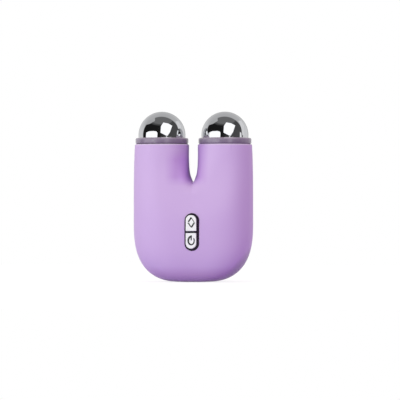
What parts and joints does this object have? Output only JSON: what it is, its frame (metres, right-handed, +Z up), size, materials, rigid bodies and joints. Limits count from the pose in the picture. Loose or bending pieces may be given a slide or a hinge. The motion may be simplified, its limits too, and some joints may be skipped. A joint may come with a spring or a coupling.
{
  "type": "facial toning device",
  "caption": "Palm-held forked facial toning device with chromed ball electrodes in smoky collars and a capsule bezel holding push buttons.",
  "frame": {"origin": "centre of the flat base the device stands on", "axes": "+Z up towards the ball electrodes, -Y out of the front face with the buttons, +X to the right in the front view"},
  "size_m": [0.054, 0.0313, 0.0768],
  "materials": {
    "shell_plastic": "soft-touch lacquer",
    "ball_chrome": "polished",
    "smoky_plastic": "smoky translucent",
    "dark_rubber": "matte",
    "bezel_plastic": "gloss",
    "button_plastic": "gloss",
    "inner_plastic": "moulded",
    "brass": "stamped",
    "steel": "zinc plated",
    "board": "solder resist",
    "battery_foil": "foil pouch",
    "foam": "closed-cell foam",
    "lead_insulation": "flat twin lead"
  },
  "bodies": {
    "casing": {"front_shell": "shell_plastic", "rear_shell": "shell_plastic", "parting_seal": "dark_rubber", "left_ball_electrode": "ball_chrome", "right_ball_electrode": "ball_chrome", "left_collar": "smoky_plastic", "right_collar": "smoky_plastic", "left_head_gasket": "dark_rubber", "right_head_gasket": "dark_rubber", "left_electrode_carrier": "inner_plastic", "right_electrode_carrier": "inner_plastic", "left_contact_strip": "brass", "right_contact_strip": "brass", "electrode_screws": "steel", "button_bezel": "bezel_plastic", "upper_switch": "inner_plastic", "lower_switch": "inner_plastic", "button_gasket": "dark_rubber", "button_retainer": "inner_plastic", "retainer_screws": "steel", "circuit_board": "board", "board_screws": "steel", "microcontroller": "inner_plastic", "step_up_transformer": "inner_plastic", "chassis": "inner_plastic", "chassis_screws": "steel", "battery": "battery_foil", "battery_pad": "foam", "battery_lead": "lead_insulation", "motor_can": "steel", "motor_boot": "dark_rubber", "motor_lead": "lead_insulation", "charging_jack": "inner_plastic", "jack_lead": "lead_insulation"},
    "upper_button": {"upper_button": "button_plastic", "upper_switch_plunger": "steel"},
    "lower_button": {"lower_button": "button_plastic", "lower_switch_plunger": "steel"},
    "motor_rotor": {"motor_weight": "steel"}
  },
  "joints": [
    {"name": "upper_button_press", "type": "slide", "parent": "casing", "child": "upper_button", "axis": [0, 1, 0], "range_m": [0, 0.0004], "stiffness_N_per_m": 4000},
    {"name": "lower_button_press", "type": "slide", "parent": "casing", "child": "lower_button", "axis": [0, 1, 0], "range_m": [0, 0.0004], "stiffness_N_per_m": 4000},
    {"name": "motor_spin", "type": "hinge", "parent": "casing", "child": "motor_rotor", "pos_m": [0.0055, 0.005, 0.0335], "axis": [1, 0, 0], "continuous": true}
  ]
}
